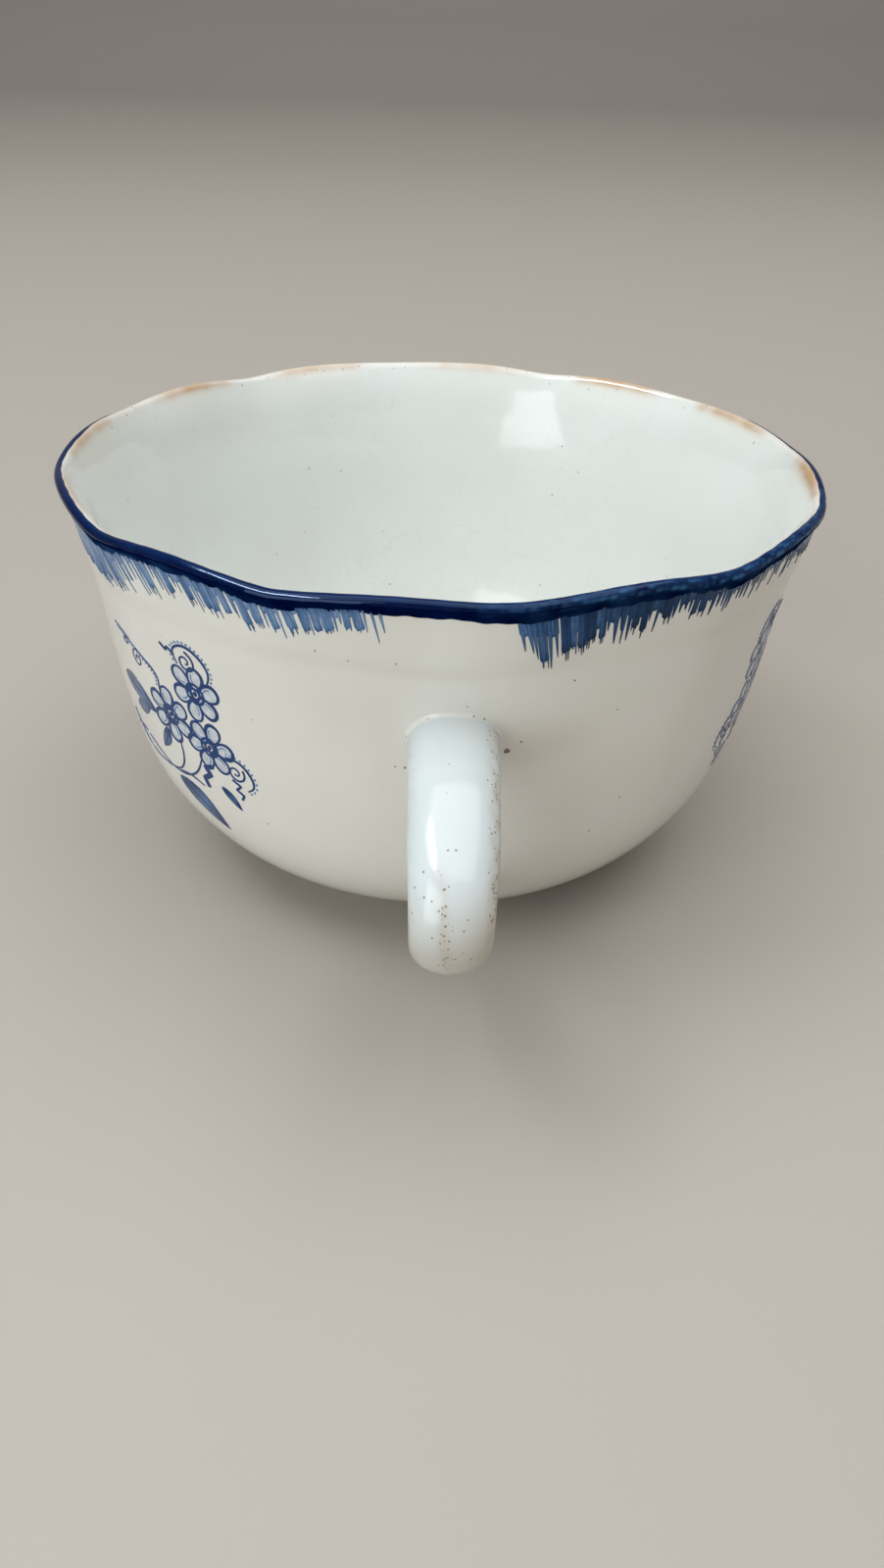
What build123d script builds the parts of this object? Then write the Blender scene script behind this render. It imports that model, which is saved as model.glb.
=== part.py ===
from build123d import *
from math import cos, sin, sqrt, radians, pi
import os

os.makedirs("parts", exist_ok=True)

# ---------------------------------------------------------------- driving dimensions (mm)
MUG_HEIGHT = 64.0          # table to the crests of the rim
RIM_RADIUS = 57.0          # outer edge of the painted lip
PAINT = 0.2                # thickness of the cobalt coat on the lip, strokes and prints
LOBES = 12                 # scallops around the rim
NOTCH_ANGLE = 7.4          # direction of one rim dip, degrees from +X
SCALLOP_DIP = 0.56         # how far the rim drops at a dip
SCALLOP_SOFTNESS = 0.3     # 0 gives sharp dips, larger gives rounder ones
RIDGE_RISE = 0.35          # how far the wall stands out below a dip
SCALLOP_FADE = 13.0        # depth below the rim where the scallops have died out
FOOT_RADIUS = 29.6         # outside of the foot ring
FOOT_INNER_RADIUS = 25.6
FOOT_HEIGHT = 2.6
WELL_RADIUS = 20.0         # flat disc in the middle of the floor
HANDLE_WIDTH = 9.5           # from the outermost point down
HANDLE_ROOT_WIDTH = 11.4     # at the upper root
HANDLE_THICKNESS = 6.4
HANDLE_SKEW = 0.03         # sideways drift of the hand-applied loop for each mm it stands out
PAINT_START = 2.7          # depth of the lip coat's lower edge on the outside
STROKE_STEP = 3.4          # degrees between strokes of the feathered border
STROKE_LIFT = 0.08         # flat strokes stand off the curved wall by this much at their middle
STROKE_GAP = (-99.0, -84.5)  # bare stretch of the border above the handle, degrees
SPRAY_ANGLES = {"left_print": -139.8, "right_print": -19.0, "back_print": 100.4}

# outside of the wall: depth below the rim and radius
WALL_OUTSIDE = [(2.7, 55.85), (6, 55.2), (9, 54.45), (12, 53.8), (15, 53.3), (18, 52.8),
                (24, 52.0), (30, 51.2), (36, 50.15), (42, 48.7), (45, 47.6), (48, 46.15),
                (51, 44.3), (54, 42.0), (57, 38.9), (59, 35.7), (60.3, 32.6),
                (MUG_HEIGHT - FOOT_HEIGHT, FOOT_RADIUS)]
# lip under the paint, from the outside over the crest to the inside
LIP = [(2.7, 55.85), (1.7, 56.35), (0.85, 56.72), (0.36, 56.25), (0.34, 55.4), (0.95, 54.78)]
# inside of the wall down to the well
WALL_INSIDE = [(0.95, 54.78), (3.0, 53.6), (6, 52.35), (10, 51.2), (16, 49.8), (24, 48.6),
               (32, 47.3), (39, 45.5), (45, 42.8), (50, 39.2), (54, 34.6), (56.8, 29.2),
               (58.6, 20.0)]
# centre line of the handle: how far out it stands and how deep below the rim it lies
HANDLE_LINE = [(47.0, 20.9), (52.5, 20.1), (59.0, 19.7), (66.0, 20.3), (72.2, 22.4),
               (76.6, 25.6), (78.2, 29.0), (76.8, 32.4), (73.0, 35.9), (68.0, 39.3),
               (61.8, 42.5), (54.8, 45.0), (43.5, 47.4)]
LEVEL_RADIUS = 60.0        # where the drifting loop crosses the middle plane, from the bowl's axis
SLIP_SPREAD = 0.8          # how far a slip bead spreads over the wall
SLIP_RISE = 1.0            # how far it climbs the handle


# ---------------------------------------------------------------- helpers
def lobe(angle):
    """1 on a crest of the rim, 0 at a dip."""
    turn = LOBES / 2 * radians(angle - NOTCH_ANGLE) + pi / 2
    soft = SCALLOP_SOFTNESS
    return (sqrt(cos(turn) ** 2 + soft ** 2) - soft) / (sqrt(1 + soft ** 2) - soft)


def fade(depth):
    """Full scallop at the lip, none further down the wall."""
    t = min(max((depth - 2.0) / (SCALLOP_FADE - 2.0), 0.0), 1.0)
    return 1 - t * t * (3 - 2 * t)


def wall_point(angle, depth, radius):
    """A point of the wall at one angle, with the scallop applied."""
    low = 1 - lobe(angle)
    r = radius + RIDGE_RISE * fade(depth) * (low - 0.5)
    z = MUG_HEIGHT - depth - SCALLOP_DIP * fade(depth) * low
    a = radians(angle)
    return Vector(r * cos(a), r * sin(a), z)


def section_wire(angle, parts):
    """Closed outline in the half plane at one angle; parts are lists of (depth, radius)."""
    edges = []
    for points in parts:
        places = [wall_point(angle, d, r) for d, r in points]
        if len(places) == 2:
            edges.append(Edge.make_line(places[0], places[1]))
        else:
            edges.append(Edge.make_spline(places))
    return Wire(edges)


def scalloped_ring(parts, steps=6):
    """Ring with LOBES equal sectors, each lofted through radial sections."""
    pitch = 360 / LOBES
    angles = [NOTCH_ANGLE + pitch * i / steps for i in range(steps + 1)]
    sector = Solid.make_loft([section_wire(a, parts) for a in angles])
    ring = sector
    for i in range(1, LOBES):
        ring = ring + sector.rotate(Axis.Z, pitch * i)
    return ring


def wall_radius(depth):
    """Radius of the outside of the wall at a depth, between the listed points."""
    for (d0, r0), (d1, r1) in zip(WALL_OUTSIDE, WALL_OUTSIDE[1:]):
        if d0 <= depth <= d1:
            t = (depth - d0) / (d1 - d0)
            return r0 + (r1 - r0) * t
    return WALL_OUTSIDE[0][1]


def turned(outline):
    """Solid of revolution from a closed list of (radius, z) corners."""
    return revolve(make_face(Polyline(*[(r, 0, z) for r, z in outline], close=True)), Axis.Z)


def full_bowl(extra=0.0):
    """Everything inside the outer wall, filled, for trimming what meets the wall."""
    points = [p for p in WALL_OUTSIDE if p[0] >= 9]
    side = Edge.make_spline([Vector(r + extra, 0, MUG_HEIGHT - d) for d, r in points])
    high = Vector(points[0][1] + extra, 0, MUG_HEIGHT - points[0][0])
    low = Vector(points[-1][1] + extra, 0, MUG_HEIGHT - points[-1][0])
    outline = [side, Edge.make_line(low, Vector(0, 0, low.Z)),
               Edge.make_line(Vector(0, 0, low.Z), Vector(0, 0, high.Z)),
               Edge.make_line(Vector(0, 0, high.Z), high)]
    return revolve(Face(Wire(outline)), Axis.Z)


# ---------------------------------------------------------------- sub-parts
def make_body():
    """Bowl: scalloped lip, wall and floor, with a slightly sunk well in the middle."""
    under = (61.4, FOOT_INNER_RADIUS)
    underside = [WALL_OUTSIDE[-1], under]
    recess = [under, (61.9, WELL_RADIUS)]
    end = [(61.9, WELL_RADIUS), WALL_INSIDE[-1]]
    wall = scalloped_ring([WALL_OUTSIDE, underside, recess, end, WALL_INSIDE[::-1], LIP[::-1]])
    floor_top = MUG_HEIGHT - WALL_INSIDE[-1][0]
    floor = turned([(0, 2.4), (WELL_RADIUS + 1.5, 2.4), (WELL_RADIUS + 1.5, floor_top - 0.3),
                    (0, floor_top - 0.3)])
    return wall + floor


def make_foot():
    """Foot ring left bare of glaze, standing on its flat rim."""
    top = MUG_HEIGHT - WALL_OUTSIDE[-1][0]
    return turned([(FOOT_INNER_RADIUS, top), (FOOT_INNER_RADIUS + 0.3, 0.5),
                   (FOOT_INNER_RADIUS + 0.9, 0), (FOOT_RADIUS - 1.2, 0),
                   (FOOT_RADIUS - 0.4, 0.6), (FOOT_RADIUS, top)])


def handle_frame(along):
    """Place, outward direction and width of the handle at a fraction of its length."""
    path = Edge.make_spline([Vector(HANDLE_SKEW * (LEVEL_RADIUS - y), -y, MUG_HEIGHT - d)
                             for y, d in HANDLE_LINE])
    place = path.position_at(along)
    heading = path.tangent_at(along)
    outward = heading.cross(Vector(1, 0, 0)).normalized()
    return place, outward, heading


def handle_section(along):
    """Rounded strap section: nearly flat towards the finger, crowned on the outside.

    The strap narrows from its upper root to its outermost point and flares a little at both roots.
    """
    place, outward, heading = handle_frame(along)
    upper = 1 - min(along / 0.46, 1.0) ** 2
    lower = 0.2 * max(0.0, (along - 0.78) / 0.22) ** 1.6
    half = (HANDLE_WIDTH + (HANDLE_ROOT_WIDTH - HANDLE_WIDTH) * (upper + lower)) / 2
    root = max(0.0, 1 - along / 0.32) ** 1.6
    thick = HANDLE_THICKNESS / 2 + 0.5 * (root + lower)
    shape = [(0, 1.0), (0.45, 0.90), (0.80, 0.56), (0.985, 0.02), (0.90, -0.62), (0.55, -0.90),
             (0, -0.97), (-0.55, -0.90), (-0.90, -0.62), (-0.985, 0.02), (-0.80, 0.56),
             (-0.45, 0.90)]
    points = [place + Vector(1, 0, 0) * (x * half) + outward * (y * thick) for x, y in shape]
    return Wire([Edge.make_spline(points, periodic=True)])


def make_handle():
    """Strap handle, trimmed where it meets the wall."""
    stations = [i / 22 for i in range(23)]
    strap = Solid.make_loft([handle_section(s) for s in stations])
    return strap - full_bowl()


def wall_crossing(low, high):
    """Fraction of the handle's length where its centre line passes the wall."""
    for _ in range(40):
        middle = (low + high) / 2
        place = handle_frame(middle)[0]
        outside = -place.Y > wall_radius(MUG_HEIGHT - place.Z)
        low, high = (low, middle) if outside else (middle, high)
    return (low + high) / 2


def make_slip_joint(crossing, away, handle):
    """Bead of slip around a root of the handle, in layers that follow the wall's slope."""
    place, outward, heading = handle_frame(crossing)
    out = heading if away > 0 else Vector(0, 0, 0) - heading
    depth = MUG_HEIGHT - place.Z
    slope = (wall_radius(depth + 2) - wall_radius(depth - 2)) / 4
    along_wall = Vector(0, -slope, -1).normalized()
    if along_wall.dot(outward) < 0:
        along_wall = Vector(0, 0, 0) - along_wall
    stretch = 1 / along_wall.dot(outward)
    base = handle_section(crossing)
    ring = [base.position_at(i / 24) - place for i in range(24)]
    sections = []
    for rise, spread in ((-0.9, 1.0), (0.0, 1.0), (0.3, 0.55), (0.7, 0.28), (1.0, 0.16)):
        centre = place + out * (rise * SLIP_RISE)
        points = []
        for p in ring:
            across, thick = p.X, p.dot(outward) * stretch
            size = sqrt(across ** 2 + thick ** 2)
            grow = 1 + SLIP_SPREAD * spread / size
            points.append(centre + Vector(1, 0, 0) * (across * grow) + along_wall * (thick * grow))
        sections.append(Wire([Edge.make_spline(points, periodic=True)]))
    bead = Solid.make_loft(sections)
    return bead - full_bowl() - handle


def make_painted_lip():
    """Cobalt coat over the outer edge and the top of the lip."""
    outer = [(2.7, 55.85), (2.5, 56.15), (1.6, 56.62), (0.75, RIM_RADIUS), (0.16, 56.45),
             (0.1, 55.35), (0.8, 54.6), (0.95, 54.78)]
    return scalloped_ring([LIP, outer[::-1]])


def stroke_length(angle):
    """How far the brush strokes of the border hang below the lip coat."""
    turn = (angle + 92) % 360
    near = 3.2 * max(0.0, 1 - abs(turn - 15) / 22) if turn < 180 else 0.0
    return 3.0 + near + 0.9 * sin(radians(angle * 5.3)) + 0.5 * sin(radians(angle * 17.0))


def make_feather_border():
    """Short tapering brush strokes hanging from the lip coat, apart from a gap."""
    strokes = []
    count = int((360 - (STROKE_GAP[1] - STROKE_GAP[0])) / STROKE_STEP)
    for i in range(count + 1):
        angle = STROKE_GAP[1] + 0.8 + i * STROKE_STEP
        if angle > STROKE_GAP[0] + 360 - 0.8:
            break
        length = stroke_length(angle)
        top, tip = PAINT_START + 0.2, PAINT_START + 0.2 + length
        high = wall_point(angle, top, wall_radius(top))
        low = wall_point(angle, tip, wall_radius(tip))
        side = Vector(-sin(radians(angle)), cos(radians(angle)), 0)
        down = (low - high).normalized()
        outward = side.cross(Vector(0, 0, 0) - down).normalized()
        centre = (high + low) * 0.5 + outward * STROKE_LIFT
        plane = Plane(origin=centre, x_dir=side, z_dir=outward)
        half = length / 2
        lean = 0.35 * sin(radians(angle + 90))
        outline = [(-1.25, half), (1.25, half), (0.55 + lean, -half * 0.7),
                   (0.15 + lean, -half), (-0.15 + lean, -half), (-0.75 + lean, -half * 0.7)]
        strokes.append(extrude(plane * make_face(Polyline(*outline, close=True)), PAINT))
    return Compound(children=strokes)


def petal_flower(x, y, size):
    """Open flower: ring centre with six petals, as a flat face."""
    shape = Pos(x, y) * Circle(size * 0.42)
    for i in range(6):
        a = radians(60 * i + 20)
        place = Pos(x + 0.62 * size * cos(a), y + 0.62 * size * sin(a)) * Rot(0, 0, 60 * i + 20)
        shape = shape + place * Ellipse(size * 0.40, size * 0.27)
    return shape - Pos(x, y) * Circle(size * 0.14)


def leaf(x, y, length, width, turn):
    """Pointed leaf, as a flat face."""
    half = length / 2
    edge = make_face(Spline((-half, 0), (-half * 0.3, width / 2), (half, 0)).edges()
                     + Spline((half, 0), (-half * 0.2, -width / 2), (-half, 0)).edges())
    return Pos(x, y) * Rot(0, 0, turn) * edge


def curl(points, width):
    """Curving tendril of even width, as a flat face."""
    return trace(Spline(*points), line_width=width)


def spray_faces(flip):
    """Flowers, leaves and tendrils of one spray in flat millimetres around its middle."""
    s = -1 if flip else 1
    faces = [petal_flower(9.0 * s, 7.4, 4.6), petal_flower(2.4 * s, 0.9, 4.6),
             petal_flower(9.4 * s, -1.8, 4.4)]
    faces.append(leaf(-5.6 * s, 0.2, 10.5, 3.2, -22 * s))
    faces.append(leaf(0.4 * s, -5.4, 5.6, 2.0, 70 * s))
    faces.append(leaf(3.9 * s, -13.6, 12.5, 3.4, -42 * s))
    faces.append(leaf(11.6 * s, -10.0, 5.6, 1.7, -50 * s))
    faces.append(curl([(0.6 * s, 5.2), (-0.8 * s, 7.6), (-3.4 * s, 9.6), (-6.4 * s, 10.9)], 0.5))
    faces.append(curl([(11.6 * s, 8.9), (12.0 * s, 11.6), (9.6 * s, 13.6), (6.6 * s, 12.8)], 0.6))
    faces.append(curl([(12.4 * s, -3.4), (15.6 * s, -4.0), (16.6 * s, -7.0), (14.4 * s, -8.6)],
                      0.6))
    faces.append(curl([(3.4 * s, -3.4), (3.0 * s, -7.0), (-0.6 * s, -10.2), (-6.5 * s, -8.2),
                       (-10.8 * s, -6.0)], 0.5))
    return faces


def make_spray(angle, flip):
    """Spray printed on the wall, wrapped on by cutting a skin with the flat outlines."""
    middle = 27.4
    skin = full_bowl(PAINT) - full_bowl(0.01)
    outward = Vector(cos(radians(angle)), sin(radians(angle)), 0)
    side = Vector(-outward.Y, outward.X, 0)
    plane = Plane(origin=outward * 70 + Vector(0, 0, MUG_HEIGHT - middle), x_dir=side,
                  z_dir=outward)
    pieces = []
    for face in spray_faces(flip):
        cutter = extrude(plane * face, -40)
        pieces.extend((skin & cutter).solids())
    return Compound(children=pieces)


def export_all():
    handle = make_handle()
    parts = {
        "mug_body": make_body(),
        "foot_ring": make_foot(),
        "handle": handle,
        "upper_slip_joint": make_slip_joint(wall_crossing(0.0, 0.3), 1, handle),
        "lower_slip_joint": make_slip_joint(wall_crossing(1.0, 0.7), -1, handle),
        "painted_lip": make_painted_lip(),
        "feather_border": make_feather_border(),
    }
    for name, angle in SPRAY_ANGLES.items():
        parts[name] = make_spray(angle, name == "right_print")
    boxes = [shape.bounding_box() for shape in parts.values()]
    middle = (min(b.min.Y for b in boxes) + max(b.max.Y for b in boxes)) / 2
    for name, shape in parts.items():
        # the row's origin is under the middle of the whole mug, handle included
        shape = shape.moved(Location((0, -middle, 0)))
        box = shape.bounding_box()
        print(name, len(shape.solids()), "solids, volume", round(shape.volume, 1),
              [round(v, 1) for v in (*box.min, *box.max)])
        export_step(shape, "parts/" + name + ".step")


export_all()
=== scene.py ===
import math
import random

import bmesh
import bpy
import numpy as np
from mathutils import Matrix, Vector


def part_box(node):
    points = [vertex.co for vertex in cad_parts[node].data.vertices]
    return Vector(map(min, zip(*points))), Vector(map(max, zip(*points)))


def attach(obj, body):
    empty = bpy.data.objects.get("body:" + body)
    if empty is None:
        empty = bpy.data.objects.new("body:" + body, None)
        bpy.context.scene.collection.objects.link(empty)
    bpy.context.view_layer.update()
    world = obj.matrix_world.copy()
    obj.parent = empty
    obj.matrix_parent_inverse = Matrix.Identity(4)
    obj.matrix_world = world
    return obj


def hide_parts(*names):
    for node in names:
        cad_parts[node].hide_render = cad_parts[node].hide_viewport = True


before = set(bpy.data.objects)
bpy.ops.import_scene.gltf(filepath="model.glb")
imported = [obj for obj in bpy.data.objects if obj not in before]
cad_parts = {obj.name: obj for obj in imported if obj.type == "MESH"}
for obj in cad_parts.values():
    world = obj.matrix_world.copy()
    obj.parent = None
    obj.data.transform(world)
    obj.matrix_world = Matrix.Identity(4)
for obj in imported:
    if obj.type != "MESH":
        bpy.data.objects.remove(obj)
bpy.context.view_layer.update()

# ---------------- sizes in millimetres
HEIGHT = 64.0            # table to the crests of the rim
LOBES = 12
NOTCH = 7.4              # direction of one dip of the rim, degrees
DIP = 0.56               # how far the rim drops at a usual dip
UNEVEN_DIPS = {1: 0.5, 2: 1.5, 3: 0.4, 4: 1.7}   # depth of some dips against it, from NOTCH on
SOFT = 0.3               # roundness of the dips
# how far the rim stands above the usual, by direction in degrees
RIM_LIFT = [(-140, 0.0), (-130, 0.35), (-126, 0.35), (-118, 0.15), (-113, 0.0), (-106, 0.10),
            (-98, 0.22), (-88, 0.18), (-82, 0.42), (-75, 0.52), (-70, 0.64), (-64, 0.56),
            (-58, 0.24), (-48, 0.0)]
RIDGE = 0.35             # how far the wall stands out under a dip
GAP = (-99.3, -83.2)     # bare stretch of the feathered border, degrees
SPRAYS = {"left": (-139.8, 1), "right": (-19.0, -1), "back": (100.4, 1)}  # direction, 1 or mirrored
SPRAY_DEPTH, SPRAY_RADIUS = 27.4, 51.6   # the middle of a spray on the wall
SPRAY_SEED, BORDER_SEED = 40, 33

# outlines of the bowl as (depth below the rim, radius)
OUTSIDE = [(2.7, 55.85), (6, 55.2), (9, 54.45), (12, 53.8), (15, 53.3), (18, 52.8), (24, 52.0),
           (30, 51.2), (36, 50.15), (42, 48.7), (45, 47.6), (48, 46.15), (51, 44.3), (54, 42.0),
           (57, 38.9), (59, 35.7), (60.3, 32.6), (61.4, 29.6)]
LIP = [(2.7, 55.85), (1.7, 56.35), (0.85, 56.72), (0.36, 56.25), (0.34, 55.4), (0.95, 54.78)]
LIP_PAINT = LIP[:4] + [(0.31, 55.6)]   # the paint stops on top of the lip
INSIDE = [(0.95, 54.78), (3.0, 53.6), (6, 52.35), (10, 51.2), (16, 49.8), (24, 48.6),
          (32, 47.3), (39, 45.5), (45, 42.8), (50, 39.2), (54, 34.6), (56.8, 29.2),
          (58.4, 21.0), (58.9, 12.0), (59.0, 0.0)]
LIP_HEART = (1.6, 55.5)                # a place inside the lip's clay
UNDERSIDE = [(61.9, 0.0), (61.85, 9.0), (61.8, 18.0), (61.6, 23.5), (61.45, 26.5)]
FOOT = [(61.2, 25.3), (63.2, 25.9), (63.6, 26.15), (63.9, 26.55), (64.0, 27.0), (64.0, 28.1),
        (63.88, 28.6), (63.6, 28.95), (63.1, 29.2), (62.2, 29.4), (61.6, 29.65), (61.0, 29.9)]
BODY_STEPS, LIP_STEPS, FOOT_STEPS = 480, 1200, 240
LIP_SPLIT = 0.60                       # share of the way up the lip coat where its gloss starts

HANDLE_WIDTH, ROOT_WIDTH, HANDLE_THICK = 9.5, 11.4, 6.4
SKEW, LEVEL_RADIUS = 0.04, 58.0        # the loop drifts sideways as it stands out from the wall
ROOT_SINK = 1.0                        # how far the strap's ends reach into the clay
SLIP_SPREAD, SLIP_CLIMB = 0.45, 0.7    # reach of a bead of slip over the wall and up the strap
# centre line of the strap: how far out, depth below the rim
HANDLE_LINE = [(47.0, 20.9), (52.5, 20.1), (59.0, 19.7), (66.0, 20.3), (72.2, 22.4),
               (76.6, 25.6), (78.2, 29.0), (76.8, 32.4), (73.0, 35.9), (68.0, 39.3),
               (61.8, 42.5), (54.8, 45.0), (43.5, 47.4)]

low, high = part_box("foot_ring")
CENTRE_Y = (low.y + high.y) * 500      # the bowl's axis, in millimetres

# ---------------- curves and the wall


def cubic(xs, ys):
    """Natural cubic spline through points, as a function of an array."""
    xs, ys = np.asarray(xs, float), np.asarray(ys, float)
    n, h = len(xs), np.diff(xs)
    system, right = np.eye(n), np.zeros((n,) + ys.shape[1:])
    for i in range(1, n - 1):
        system[i, i - 1:i + 2] = h[i - 1], 2 * (h[i - 1] + h[i]), h[i]
        right[i] = 6 * ((ys[i + 1] - ys[i]) / h[i] - (ys[i] - ys[i - 1]) / h[i - 1])
    bend = np.linalg.solve(system, right)

    def value(x):
        x = np.asarray(x, float)
        k = np.clip(np.searchsorted(xs, x) - 1, 0, n - 2)
        a, b, w = x - xs[k], xs[k + 1] - x, h[k]
        if ys.ndim > 1:
            a, b, w = a[..., None], b[..., None], w[..., None]
        return (bend[k] * b ** 3 + bend[k + 1] * a ** 3) / (6 * w) \
            + (ys[k] / w - bend[k] * w / 6) * b + (ys[k + 1] / w - bend[k + 1] * w / 6) * a
    return value


def smooth_line(points, count):
    """Points evenly spaced along a smooth curve through the given ones."""
    pts = np.array(points, float)
    chord = np.concatenate([[0], np.cumsum(np.linalg.norm(np.diff(pts, axis=0), axis=1))])
    curve = cubic(chord, pts)
    fine = curve(np.linspace(0, chord[-1], 2000))
    run = np.concatenate([[0], np.cumsum(np.linalg.norm(np.diff(fine, axis=0), axis=1))])
    at = np.linspace(0, run[-1], count)
    return np.stack([np.interp(at, run, fine[:, i]) for i in range(pts.shape[1])], -1)


def rows_of(values):
    return values.reshape(-1, 1)


def blend(a, b, share):
    return a * (1 - share) + b * share


def hump(x, width, power=2):
    """1 at zero, falling off on both sides."""
    return np.exp(-(x / width) ** power)


def sideways(steps):
    """Unit vectors square to the steps of a flat line, on its left."""
    steps = steps / rows_of(np.linalg.norm(steps, axis=1))
    return np.stack([-steps[:, 1], steps[:, 0]], -1)


def turn_between(a, b):
    """Degrees from b to a, the short way round."""
    return (a - b + 180) % 360 - 180


def ragged(angle, seed, sizes=((17, 0.5), (29, 0.4), (53, 0.35), (91, 0.3))):
    """Uneven value around the rim."""
    rng = np.random.default_rng(seed)
    return sum(k * np.sin(n * np.radians(angle) + rng.uniform(0, 6.28)) for n, k in sizes)


LIP_LINE = smooth_line(LIP, 400)
CROWN = LIP_LINE[:np.argmax(LIP_LINE[:, 1])][::-1]     # from the lip's widest point to the wall
WALL = np.concatenate([CROWN, smooth_line(OUTSIDE, 1200)[1:]])
STRAP = smooth_line(HANDLE_LINE, 400)


def wall_radius(depth):
    return np.interp(depth, WALL[:, 0], WALL[:, 1])


def wall_slope(depth, reach=0.2):
    return (wall_radius(depth + reach) - wall_radius(depth - reach)) / (2 * reach)


def lobe(angle):
    """1 on a crest of the rim, 0 at a dip."""
    turn = LOBES / 2 * np.radians(angle - NOTCH) + math.pi / 2
    return (np.sqrt(np.cos(turn) ** 2 + SOFT ** 2) - SOFT) / (math.sqrt(1 + SOFT ** 2) - SOFT)


def dip_size(angle):
    """How deep the nearest dip is, against the usual one."""
    sizes = np.array([UNEVEN_DIPS.get(k, 1.0) for k in range(LOBES)])
    return sizes[np.round((np.asarray(angle) - NOTCH) * LOBES / 360).astype(int) % LOBES]


def rim_lift(angle):
    """How far the rim stands above the usual, in front where it warped in the kiln."""
    return np.interp(turn_between(np.asarray(angle), 0), *zip(*RIM_LIFT))


def fade(depth, start=2.0, end=13.0):
    """1 above the start depth, 0 below the end, smooth between."""
    t = np.clip((depth - start) / (end - start), 0, 1)
    return 1 - t * t * (3 - 2 * t)


def clay(angle, depth, radius):
    """Place of a clay point, with the scallops and the slight unevenness of the wall."""
    a = np.radians(angle)
    low_side = 1 - lobe(angle)
    wobble = 0.10 * np.sin(3 * a + 0.07 * depth + 1.0) + 0.06 * np.sin(5 * a - 0.11 * depth)
    turning = 0.05 * hump(depth - 8.4, 0.9) - 0.05 * hump(depth - 10.8, 1.1)
    r = radius + RIDGE * fade(depth) * (low_side - 0.5) \
        + 0.34 * fade(depth, 10, 50) * (1 - fade(depth, 0, 8)) * (low_side - 0.4) \
        + (wobble * (1 - fade(depth, 1, 10)) + turning) * fade(depth, 40, 60)
    z = HEIGHT - depth + (rim_lift(angle) - DIP * dip_size(angle) * low_side) * fade(depth)
    return np.stack([r * np.cos(a), r * np.sin(a), z], -1)


def on_wall(angle, depth, lift=0.0):
    """Point of the wall's outside, lifted along the wall's normal."""
    slope = wall_slope(depth)
    size = np.sqrt(1 + slope ** 2)
    return clay(angle, depth - lift * slope / size, wall_radius(depth) + lift / size)


# ---------------- pieces


def make_piece(name, verts, faces, material, slot, replaces, tint=None, wear=None, crease=35):
    """Mesh object on body root, from millimetre points around the bowl's axis."""
    mesh = bpy.data.meshes.new(name)
    points = np.asarray(verts, float) + (0, CENTRE_Y, 0)
    mesh.from_pydata((points / 1000).tolist(), [], [list(f) for f in faces])
    outward = bmesh.new()
    outward.from_mesh(mesh)
    bmesh.ops.recalc_face_normals(outward, faces=outward.faces)
    outward.to_mesh(mesh)
    outward.free()
    mesh.validate()
    mesh.polygons.foreach_set("use_smooth", [True] * len(mesh.polygons))
    mesh.set_sharp_from_angle(angle=math.radians(crease))
    if tint is not None:
        layer = mesh.color_attributes.new("Paint", "FLOAT_COLOR", "POINT")
        rgba = np.ones((len(points), 4))
        rgba[:, :3] = tint
        layer.data.foreach_set("color", rgba.ravel())
    if wear is not None:
        mesh.attributes.new("Wear", "FLOAT", "POINT").data.foreach_set("value", wear)
    obj = bpy.data.objects.new(name, mesh)
    bpy.context.scene.collection.objects.link(obj)
    mesh.materials.append(material)
    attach(obj, "root")
    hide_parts(*replaces)


def grid_faces(rows, columns, wrap_rows=False, wrap_columns=False, start=0):
    """Four-sided faces over a grid of points listed row by row."""
    faces = []
    for i in range(rows if wrap_rows else rows - 1):
        for j in range(columns if wrap_columns else columns - 1):
            a, b = i * columns, (i + 1) % rows * columns
            k = (j + 1) % columns
            faces.append((start + a + j, start + a + k, start + b + k, start + b + j))
    return faces


def turned(profile, steps, place=clay):
    """Points of a (depth, radius) profile swept round the bowl's axis; their angles and depths."""
    angles = np.arange(steps) * 360.0 / steps
    depth, radius = (rows_of(column) + 0 * angles for column in np.array(profile).T)
    angle = angles + 0 * depth
    return place(angle, depth, radius).reshape(-1, 3), angle.ravel(), depth.ravel()


class Ink:
    """Collects thin closed pads of colour that follow the wall."""

    def __init__(self):
        self.verts, self.faces, self.tint = [], [], []

    def pad(self, angle, depth, tint, lift=0.06):
        """Closed pad over a grid of wall places (rows by columns)."""
        angle, depth = np.asarray(angle, float), np.asarray(depth, float)
        rows, columns = angle.shape
        crown = np.sin(np.linspace(0, math.pi, columns))[None, :] * 0.02
        top = on_wall(angle, depth, lift + crown)
        base = on_wall(angle, depth, -0.04)
        start, half = len(self.verts), rows * columns
        self.verts.extend(top.reshape(-1, 3).tolist())
        self.verts.extend(base.reshape(-1, 3).tolist())
        colours = np.broadcast_to(tint, (rows, columns, 3)).reshape(-1, 3).tolist()
        self.tint.extend(colours + colours)
        self.faces.extend(f[::-1] for f in grid_faces(rows, columns, start=start))
        self.faces.extend(grid_faces(rows, columns, start=start + half))
        edge = list(range(columns)) + [i * columns + columns - 1 for i in range(1, rows)] \
            + [(rows - 1) * columns + j for j in range(columns - 2, -1, -1)] \
            + [i * columns for i in range(rows - 2, 0, -1)]
        for p, q in zip(edge, edge[1:] + edge[:1]):
            self.faces.append((start + p, start + q, start + half + q, start + half + p))


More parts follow.
